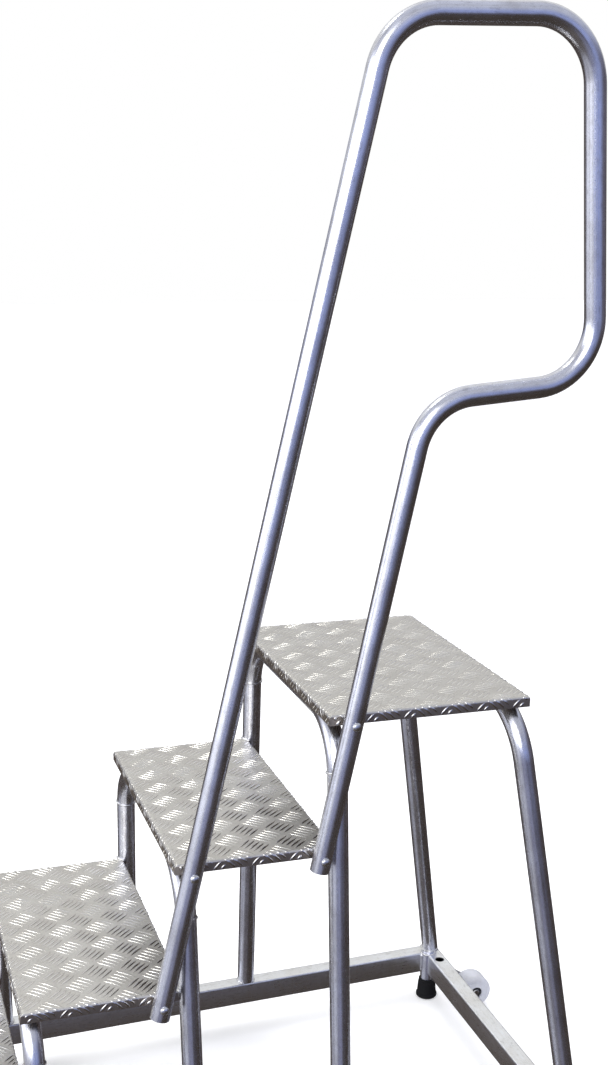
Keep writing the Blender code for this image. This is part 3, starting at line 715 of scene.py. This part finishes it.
def add_bar(plate, centre, along, across, span, verts, faces, crest):
    first = len(verts)
    middle, half = (span[0] + span[1]) / 2, (span[1] - span[0]) / 2
    for row in BAR:
        for s, t, h in row:
            run = (middle + s * half) * BAR_LENGTH / 2
            side = t * BAR_WIDTH / 2
            u = centre[0] + along[0] * run + across[0] * side
            v = centre[1] + along[1] * run + across[1] * side
            u = max(-plate.u_end, min(plate.u_end, u))
            v = max(plate.v_front, min(plate.v_end, v))
            verts.append(plate.place(u, v, h * BAR_HEIGHT - BAR_SINK))
            crest.append(h)
    for r in range(BAR_ROWS - 1):
        for c in range(BAR_COLUMNS - 1):
            a = first + r * BAR_COLUMNS + c
            faces.append((a, a + 1, a + 1 + BAR_COLUMNS, a + BAR_COLUMNS))


def make_tread(step, hoops):
    """Folded plate with its notches, and the raised bars joined to it as one piece."""
    node = TREADS[step]
    plate = FoldedPlate(step)
    sheet = add_object(f"{node}_plate", plate_mesh(plate))
    wall = sheet.modifiers.new("thickness", "SOLIDIFY")
    wall.thickness, wall.offset, wall.use_even_offset = PLATE, -1, True
    cutters = []
    lines = []
    own_corners, own_path, own_normal = hoops[HOOPS[step]]
    clearances = [(own_path, own_normal, own_corners[0].z)]
    if step + 1 < STEPS:
        corners, path, normal = hoops[HOOPS[step + 1]]
        clearances.append((path, normal, corners[0].z))
        for side in (0, 3):
            lines.append((corners[side], corners[1 if side == 0 else 2]))
    for path, normal, level in clearances:
        mesh = outward(tube_mesh("clearance", path, normal, HOOP_RADIUS + CLEAR, HOOP_RADIUS, level=level))
        cutter = add_object("clearance", mesh)
        cut = sheet.modifiers.new("notch", "BOOLEAN")
        cut.operation, cut.solver, cut.object = "DIFFERENCE", "MANIFOLD", cutter
        cutters.append(cutter)
    dg = bpy.context.evaluated_depsgraph_get()
    solid = bpy.data.meshes.new_from_object(sheet.evaluated_get(dg))
    solid.materials.clear()      # the cut leaves an empty slot, which would hide the tread's look
    for made in [sheet] + cutters:
        bpy.data.objects.remove(made, do_unlink=True)

    def blocked(point):
        for start, end in lines:
            along = (end - start).normalized()
            offset = point - start
            if (offset - along * offset.dot(along)).length < HOOP_RADIUS + 0.002:
                return True
        return False

    verts, faces, crest = bars_mesh(plate, blocked)
    bm = bmesh.new()
    height = bm.verts.layers.float.new("crest")
    bm.from_mesh(solid)
    bmesh.ops.recalc_face_normals(bm, faces=bm.faces)
    points = []
    for point, h in zip(verts, crest):
        vert = bm.verts.new(point)
        vert[height] = h
        points.append(vert)
    middle = Vector((0, (plate.front + plate.back) / 2, plate.top - 0.03))
    for corners in faces:
        face = bm.faces.new([points[n] for n in corners])
        face.normal_update()
        if face.normal.dot(face.calc_center_median() - middle) < 0:
            face.normal_flip()
    bm.to_mesh(solid)
    bm.free()
    add_piece(f"{node}_plate", solid, TREAD, replaced=[node], smooth=50)


# ---- base ----
def rail_outline(half_w, half_h, radius):
    corners = [(half_w, -half_h), (half_w, half_h), (-half_w, half_h), (-half_w, -half_h)]
    return fillet(corners, radius, 4)


def box_tube_mesh(name, start, end, half_w, half_h):
    """A box tube between planes that face X or Y, with rounded corners and metre UVs."""
    along_y = abs(end.y - start.y) > abs(end.x - start.x)
    verts, rings = [], []
    for shrink, centre in ((0, start), (0, end), (TUBE_WALL, end), (TUBE_WALL, start)):
        outline = rail_outline(half_w - shrink, half_h - shrink, max(RAIL_CORNER - shrink, 0.001))
        numbers, run = [], [0.0]
        for n, (a, b) in enumerate(outline):
            numbers.append(len(verts))
            verts.append(centre + (Vector((a, 0, b)) if along_y else Vector((0, a, b))))
            following = outline[(n + 1) % len(outline)]
            run.append(run[-1] + math.dist((a, b), following))
        rings.append((numbers, run))
    length = (end - start).length
    faces, uvs = skin_rings(rings + rings[:1], [0, length, length, 0, 0])
    return outward(mesh_from(name, verts, faces, uvs))


def make_cross_rail(node):
    low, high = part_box(node)
    centre = (low + high) / 2
    start, end = Vector((low.x, centre.y, centre.z)), Vector((high.x, centre.y, centre.z))
    mesh = box_tube_mesh(f"{node}_tube", start, end, (high.y - low.y) / 2, (high.z - low.z) / 2)
    return add_piece(f"{node}_tube", mesh, RAIL, replaced=[node])


def cut_round(target, x, y, low, high, radius):
    """Cuts an upright round hole through a piece."""
    bm = bmesh.new()
    depth = high - low
    bmesh.ops.create_cone(bm, segments=48, radius1=radius, radius2=radius, depth=depth, cap_ends=True)
    cutter = add_object("hole", mesh_of("hole", bm))
    cutter.location = (x, y, (low + high) / 2)
    cut = target.modifiers.new("hole", "BOOLEAN")
    cut.operation, cut.solver, cut.object = "DIFFERENCE", "EXACT", cutter
    bpy.context.view_layer.update()
    dg = bpy.context.evaluated_depsgraph_get()
    solid = bpy.data.meshes.new_from_object(target.evaluated_get(dg))
    target.modifiers.clear()
    target.data = solid
    bpy.data.objects.remove(cutter, do_unlink=True)


def cut_rails(rails):
    """The round holes in the back rail's top, and the room for each corner post."""
    low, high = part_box("back_rail")
    middle = (low.y + high.y) / 2
    for word, side in SIDES.items():
        bottom, top = high.z - HOLE_DEPTH, high.z + HOLE_DEPTH
        cut_round(rails["back_rail"], side * ACCESS_HOLE_X, middle, bottom, top, ACCESS_HOLE_RADIUS)
        for end in ("front", "back"):
            post_low, post_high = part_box(f"corner_post_{end}_{word}")
            x, y = (post_low.x + post_high.x) / 2, (post_low.y + post_high.y) / 2
            radius = (post_high.x - post_low.x) / 2 + CLEAR
            for name in (f"{end}_rail", f"side_rail_{word}"):
                cut_round(rails[name], x, y, low.z - 0.01, high.z + 0.01, radius)


def make_side_rail(word, side):
    node = f"side_rail_{word}"
    low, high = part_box(node)
    outer, inner = (high.x, low.x) if side > 0 else (low.x, high.x)
    z = (low.z + high.z) / 2
    front = Vector((inner + side * RAIL_HALF_WIDTH, low.y, z))
    back = Vector((outer - side * RAIL_HALF_WIDTH, high.y, z))
    mesh = box_tube_mesh(f"{node}_tube", front, back, RAIL_HALF_WIDTH, (high.z - low.z) / 2)
    return add_piece(f"{node}_tube", mesh, RAIL, replaced=[node])


def make_corner_foot(word):
    """Post with a closed top, and its ferrule: a rubber cup with a flared sole."""
    post, foot = f"corner_post_{word}", f"rubber_foot_{word}"
    low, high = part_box(post)
    place = Matrix.Translation(((low.x + high.x) / 2, (low.y + high.y) / 2, 0))
    radius = (high.x - low.x) / 2
    bore, roof = radius - TUBE_WALL, high.z - TUBE_WALL
    outline = [
        (bore, low.z, 0.0005), (radius, low.z, 0.0008), (radius, high.z, 0.0015), (0, high.z, 0),
        (0, roof, 0), (bore, roof, 0.001),
    ]
    mesh = turned_mesh(f"{post}_tube", fillet(outline, 0.001, 4), TUBE_SIDES)
    mesh.transform(place)
    outward(mesh)
    metre_uv(mesh)
    add_piece(f"{post}_tube", mesh, TUBE, replaced=[post])
    low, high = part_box(foot)
    height, wide = high.z - low.z, (high.x - low.x) / 2
    neck, floor = FERRULE_NECK, FERRULE_FLOOR
    sleeve = radius + CLEAR
    outline = [
        (0, 0, 0), (wide - 0.004, 0, 0.002), (wide, 0.004, 0.003), (wide - 0.0005, 0.010, 0.002),
        (wide - 0.0025, 0.0112, 0.001), (neck + 0.0012, height - 0.009, 0.001), (neck, height - 0.008, 0.001),
        (neck, height, 0.0015), (sleeve, height, 0.001), (sleeve, floor, 0), (0, floor, 0),
    ]
    mesh = turned_mesh(f"{foot}_ferrule", fillet(outline, 0.001, 4), 64)
    mesh.transform(place)
    add_piece(f"{foot}_ferrule", outward(mesh), RUBBER, replaced=[foot], smooth=40)


# ---- wheels ----
def make_wheel(word, side):
    """Solid nylon wheel with dished faces, and a black ring in the recess of its inner face that is painted
    shade: a dark piece where the recess lies in shadow.
    """
    node = f"wheel_{word}"
    low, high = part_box(node)
    centre = (low + high) / 2
    radius, half = (high.z - low.z) / 2, (high.x - low.x) / 2
    bore, recess, deep = 0.0054, 0.0150, 0.0070
    outline = [
        (bore, -half + deep, 0.0003), (recess - 0.0005, -half + deep, 0.001), (recess, -half, 0.0012),
        (radius - 0.013, -half, 0.001), (radius - 0.011, -half + 0.0015, 0.001),
        (radius - 0.005, -half + 0.0010, 0.003),
        (radius, -half + 0.0075, 0.006), (radius, -0.0006, 0.0001), (radius, 0, 0.0001),
        (radius, 0.0006, 0.0001), (radius, half - 0.0075, 0.006), (radius - 0.005, half - 0.0010, 0.003),
        (radius - 0.011, half - 0.0015, 0.001), (radius - 0.013, half, 0.001), (bore, half, 0.0003),
    ]
    mesh = turned_mesh(f"{node}_moulding", fillet(outline, 0.001, 5), 96)
    lay_on_x(mesh, centre, side)
    add_piece(f"{node}_moulding", outward(mesh), NYLON, body=node, replaced=[node], smooth=40)
    # Painted shade: the black ring stands where the recess round the axle bolt lies in shadow.
    face = -half + 0.0045
    ring = [
        (0.0093, face - 0.0012, 0.0003), (0.0145, face - 0.0006, 0.0004), (0.0145, face + 0.0016, 0),
        (0.0093, face + 0.0016, 0),
    ]
    mesh = turned_mesh(f"{node}_shade_ring", fillet(ring, 0.0003, 3), 64)
    lay_on_x(mesh, centre, side)
    add_piece(f"{node}_shade_ring", outward(mesh), PLASTIC, body=node, smooth=40)


# ---- welds ----
def weld_bead(points, radius, verts, faces, seed):
    """A rippled bead along a line of points, added to verts and faces. The ripples are overlapping scales."""
    rng = np.random.default_rng(seed)
    points = [Vector(p) for p in points]
    length = sum((b - a).length for a, b in zip(points, points[1:]))
    stations = max(8, int(length / WELD_STATION))
    cumulative = [0.0]
    for a, b in zip(points, points[1:]):
        cumulative.append(cumulative[-1] + (b - a).length)
    phase = rng.uniform(0, 1)
    rings = []
    for n in range(stations + 1):
        far = length * n / stations
        k = min(len(points) - 2, max(0, int(np.searchsorted(cumulative, far, side="right")) - 1))
        span = max(cumulative[k + 1] - cumulative[k], 1e-9)
        spot = points[k].lerp(points[k + 1], (far - cumulative[k]) / span)
        ahead = (points[k + 1] - points[k]).normalized()
        helper = Vector((0, 0, 1)) if abs(ahead.z) < 0.8 else Vector((1, 0, 0))
        across = ahead.cross(helper).normalized()
        up = across.cross(ahead)
        scale = (far / WELD_SCALE + phase) % 1.0
        swell = 0.82 + 0.22 * math.sqrt(1 - (1 - scale) ** 2) + rng.normal(0, 0.02)
        taper = min(1.0, 0.35 + far / (2 * radius), 0.35 + (length - far) / (2 * radius))
        r = radius * swell * taper
        ring = []
        for side in range(WELD_SIDES):
            angle = 2 * math.pi * side / WELD_SIDES
            ring.append(len(verts))
            verts.append(spot + r * (math.cos(angle) * across + math.sin(angle) * up))
        rings.append(ring)
    for first, second in zip(rings, rings[1:]):
        for n in range(WELD_SIDES):
            m = (n + 1) % WELD_SIDES
            faces.append((first[n], first[m], second[m], second[n]))
    faces.append(tuple(rings[0]))
    faces.append(tuple(rings[-1][::-1]))


def arc_points(centre, radius, start, end, steps=14):
    return [
        centre + Vector((radius * math.cos(a), radius * math.sin(a), 0))
        for a in (math.radians(start + (end - start) * n / steps) for n in range(steps + 1))
    ]


def make_welds(hoops):
    """One piece that holds every bead: hoop feet, tread backs, rings round the hoops, posts and rail ends."""
    verts, faces = [], []
    seeds = itertools.count(1)

    def bead(points, radius):
        weld_bead(points, radius, verts, faces, next(seeds))

    for node, (corners, _, _) in hoops.items():
        on_cross_rail = node in ("hoop_1", "back_hoop")
        for foot in (corners[0], corners[-1]):
            spot = Vector((foot.x, foot.y, BASE_TOP + 0.0008))
            reach = HOOP_RADIUS - 0.0002
            for turn in (0, 180) if on_cross_rail else (90, 270):
                bead(arc_points(spot, reach, turn - 62, turn + 62), 0.0027)
    for step in range(1, STEPS):
        corners = hoops[HOOPS[step]][0]
        for foot, shoulder in ((corners[0], corners[1]), (corners[3], corners[2])):
            level = TOP_Z[step - 1]
            share = (level - foot.z) / (shoulder.z - foot.z)
            spot = foot.lerp(shoulder, share)
            side = 1 if spot.x > 0 else -1
            reach = HOOP_RADIUS + 0.001
            start, end = (200, 292) if side > 0 else (248, 340)
            bead(arc_points(spot, reach, start, end), 0.0024)
    for node in HOOPS:
        _, path, normal = hoops[node]
        for places in (path[: BEND_STEPS + 2], path[::-1][: BEND_STEPS + 2]):
            spot, ahead = places[2]
            across = normal.cross(ahead).normalized()
            ring = [
                spot + (HOOP_RADIUS + 0.0004) * (math.cos(a) * normal + math.sin(a) * across)
                for a in (2 * math.pi * n / 28 for n in range(29))
            ]
            bead(ring, 0.0021)
    for word in ("front_left", "front_right", "back_left", "back_right"):
        low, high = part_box(f"corner_post_{word}")
        centre, radius = (low + high) / 2, (high.x - low.x) / 2
        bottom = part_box("back_rail")[0].z
        inward_x = -1 if centre.x > 0 else 1
        inward_y = -1 if centre.y > 0 else 1
        for across, along in ((0.12, 0.99), (0.94, -0.30)):
            x, y = centre.x + inward_x * radius * across, centre.y + inward_y * radius * along
            bead([(x, y, bottom + 0.002), (x, y, BASE_TOP - 0.001)], 0.0034)
        bead(arc_points(Vector((centre.x, centre.y, BASE_TOP - 0.0005)), radius, 0, 360, 40), 0.0022)
    for node, face in (("front_rail", 1), ("back_rail", -1)):
        low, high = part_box(node)
        y = high.y if face > 0 else low.y
        for word, side in SIDES.items():
            rail_low, rail_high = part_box(f"side_rail_{word}")
            if face > 0:
                inner = rail_high.x if side < 0 else rail_low.x
                outer = inner + side * 2 * RAIL_HALF_WIDTH
            else:
                outer = rail_low.x if side < 0 else rail_high.x
                inner = outer - side * 2 * RAIL_HALF_WIDTH
            level = BASE_TOP + 0.0002
            ends = [(inner + side * RAIL_CORNER, y, level), (outer - side * RAIL_CORNER, y, level)]
            bead(ends, 0.0020)
    mesh = outward(mesh_from("welds", verts, faces))
    add_piece("welds", mesh, WELD, smooth=60)


# ---- kept CAD nodes ----
def metre_uv(mesh):
    """Gives a mesh without one the UV map that the drawn metal reads, in metres along Y and Z."""
    layer = mesh.uv_layers.get("metres") or mesh.uv_layers.new(name="metres")
    spots = np.array([mesh.vertices[loop.vertex_index].co for loop in mesh.loops])
    layer.data.foreach_set("uv", spots[:, [1, 2]].ravel())


def dress_cad_nodes():
    looks = {
        "cap": (PLASTIC, 0.0006), "spacer": (PLASTIC, 0.0004),
        "nut": (STEEL, 0.0004), "washer": (STEEL, 0.0002),
        "wheel_bolt": (STEEL, 0.0004), "bracket": (RAIL, 0.0006),
    }
    for name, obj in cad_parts.items():
        if obj.hide_render:
            continue
        for key, (look, edge) in looks.items():
            if key in name:
                if look is RAIL:
                    metre_uv(obj.data)
                obj.data.materials.clear()
                obj.data.materials.append(look)
                soften = obj.modifiers.new("soft_edges", "BEVEL")
                soften.width, soften.segments, soften.limit_method = edge, 2, "ANGLE"
                soften.angle_limit = math.radians(40)
                obj.data.shade_smooth()
                obj.data.set_sharp_from_angle(angle=math.radians(35))


# ---- studio ----
def make_floor():
    bm = bmesh.new()
    bmesh.ops.create_grid(bm, x_segments=2, y_segments=2, size=30)
    mesh = mesh_of("floor", bm)
    floor = add_object("floor", mesh)
    made, nodes, shader = new_material("pale_floor", 0.0, Base_Color=(0.86, 0.86, 0.86, 1), Roughness=0.9)
    shader.inputs["Emission Color"].default_value = (1, 1, 1, 1)
    shader.inputs["Emission Strength"].default_value = 0.30
    shader.inputs["Specular IOR Level"].default_value = 0.0
    path = nodes.add("ShaderNodeLightPath")
    clear = nodes.add("ShaderNodeBsdfTransparent")
    inputs = {0: path.outputs["Is Glossy Ray"], 1: shader.outputs[0], 2: clear.outputs[0]}
    mixed = nodes.add("ShaderNodeMixShader", inputs)
    output = nodes.tree.nodes["Material Output"]
    nodes.tree.links.new(mixed.outputs[0], output.inputs["Surface"])
    mesh.materials.append(made)


def make_world():
    """White to the eye. In reflections it is a room: a pale wall behind the stand, dim blue ahead of it, dark
    brown below and to the right, a tall window to the left and two small lamps for the tread's bars."""
    world = bpy.data.worlds.new("studio")
    bpy.context.scene.world = world
    world.use_nodes = True
    nodes = Nodes(world.node_tree)
    background = world.node_tree.nodes["Background"]
    way = nodes.add("ShaderNodeTexCoord").outputs["Generated"]
    split = nodes.add("ShaderNodeSeparateXYZ", {0: way})
    x, y, z = split.outputs[0], split.outputs[1], split.outputs[2]

    def lamp(direction, inner, outer):
        aim = Vector(direction).normalized()
        dot = nodes.add("ShaderNodeVectorMath", {0: way, 1: aim}, operation="DOT_PRODUCT").outputs["Value"]
        return nodes.ramp(dot, math.cos(math.radians(outer)), math.cos(math.radians(inner)))

    room = nodes.mix(nodes.ramp(z, -0.62, -0.38), rgba(0.11, 0.095, 0.085), rgba(0.24, 0.245, 0.34))
    room = nodes.mix(nodes.ramp(z, -0.30, 0.02), room, rgba(0.33, 0.39, 0.68))
    room = nodes.mix(nodes.ramp(z, 0.10, 0.7), room, rgba(0.60, 0.62, 0.70))
    far_right = nodes.math("MULTIPLY", nodes.ramp(y, 0.50, 0.88), nodes.ramp(z, 0.55, 0.2))
    room = nodes.mix(far_right, room, rgba(0.12, 0.11, 0.14))
    low_right = nodes.math("MULTIPLY", nodes.ramp(y, -0.10, 0.12), nodes.ramp(z, -0.06, -0.24))
    room = nodes.mix(low_right, room, rgba(0.055, 0.044, 0.036))
    low_behind = nodes.math("MULTIPLY", nodes.ramp(x, -0.05, -0.45), nodes.ramp(z, 0.16, 0.04))
    room = nodes.mix(low_behind, room, rgba(0.075, 0.060, 0.052))
    wall = nodes.mix(nodes.ramp(z, 0.26, 0.52), rgba(0.66, 0.655, 0.635), rgba(0.90, 0.90, 0.89))
    behind = nodes.math("MULTIPLY", nodes.ramp(x, -0.15, -0.5), nodes.ramp(z, 0.10, 0.22))
    room = nodes.mix(behind, room, wall)
    patches = nodes.noise(way, 3.5, 4.0, 0.6)
    room = nodes.mix(nodes.ramp(patches, 0.25, 0.75), nodes.scaled(room, 0.84), nodes.scaled(room, 1.16))
    low_left = nodes.math("MULTIPLY", nodes.ramp(y, -0.62, -0.80), nodes.ramp(z, -0.8, -0.6))
    room = nodes.mix(low_left, room, rgba(0.52, 0.53, 0.60))
    window = nodes.math("MULTIPLY", nodes.ramp(y, -0.80, -0.90), nodes.ramp(z, -0.14, 0.06))
    room = nodes.mix(window, room, rgba(2.3, 2.35, 2.5))
    room = nodes.mix(lamp((0.70, -0.55, 0.42), 12, 24), room, rgba(4.5, 4.5, 4.5))
    room = nodes.mix(lamp((-0.47, -0.33, 0.82), 3, 7), room, rgba(13.0, 13.0, 12.6))
    path = nodes.add("ShaderNodeLightPath")
    seen = nodes.mix(path.outputs["Is Camera Ray"], room, rgba(1.0, 1.0, 1.0))
    nodes.tree.links.new(seen, background.inputs["Color"])
    background.inputs["Strength"].default_value = 1.0


def add_light(name, place, target, size, power):
    data = bpy.data.lights.new(name, "AREA")
    data.shape = "RECTANGLE"
    data.size, data.size_y = size
    data.energy = power
    light = add_object(name, data)
    light.location = place
    light.visible_glossy = False
    light.rotation_euler = (Vector(target) - Vector(place)).to_track_quat("-Z", "Y").to_euler()


CAMERA_FROM_NOSE = Vector((2.5038, -0.7595, 0.8194))     # from the middle of the platform's nose, at its top
CAMERA_YAW, CAMERA_PITCH, CAMERA_ROLL = 0.31247, -0.33373, 0.01051
IMAGE_HEIGHT = 1065
FOCAL_PIXELS = 1415.6
AXIS_ROW = 710.0


def make_camera():
    yaw, pitch, roll = CAMERA_YAW, CAMERA_PITCH, CAMERA_ROLL
    ahead = Vector((-math.cos(yaw) * math.cos(pitch), math.sin(yaw) * math.cos(pitch), math.sin(pitch)))
    right = ahead.cross(Vector((0, 0, 1))).normalized()
    up = right.cross(ahead)
    turned_right = math.cos(roll) * right + math.sin(roll) * up
    turned_up = -math.sin(roll) * right + math.cos(roll) * up
    data = bpy.data.cameras.new("camera")
    data.sensor_width = 36.0
    data.sensor_fit = "AUTO"
    data.lens = FOCAL_PIXELS * data.sensor_width / IMAGE_HEIGHT
    data.shift_y = (AXIS_ROW - IMAGE_HEIGHT / 2) / IMAGE_HEIGHT
    camera = add_object("camera", data)
    turn = Matrix((turned_right, turned_up, -ahead)).transposed()
    place = Vector((0, NOSE_Y[-1], TOP_Z[-1])) + CAMERA_FROM_NOSE
    camera.matrix_world = Matrix.Translation(place) @ turn.to_4x4()
    bpy.context.scene.camera = camera


def make_studio():
    make_camera()
    make_floor()
    make_world()
    add_light("key", (1.2, -2.6, 3.4), (0, 0, 0.8), (1.6, 1.6), 60)
    add_light("overhead", (-0.6, 0.4, 3.8), (0, 0, 0.6), (2.2, 2.2), 70)
    bpy.context.scene.view_settings.view_transform = "Standard"


# ---- everything ----
def main():
    hoops = {}
    for step, node in enumerate(HOOPS):
        hoops[node] = make_hoop(node, HOOP_HALF, NOSE_Y[step] + BAR_INSET)
    hoops["back_hoop"] = make_hoop("back_hoop", BACK_HOOP_HALF, BACK_Y[-1] - BACK_HOOP_INSET)
    for step in range(STEPS):
        make_tread(step, hoops)
    make_handrail()
    for leg in ("front", "rear"):
        for end in ("low", "high"):
            make_handrail_bolt(leg, end)
    rails = {node: make_cross_rail(node) for node in ("front_rail", "back_rail")}
    for word, side in SIDES.items():
        rails[f"side_rail_{word}"] = make_side_rail(word, side)
        make_corner_foot(f"front_{word}")
        make_corner_foot(f"back_{word}")
        make_wheel(word, side)
    cut_rails(rails)
    make_welds(hoops)
    dress_cad_nodes()
    make_studio()


main()
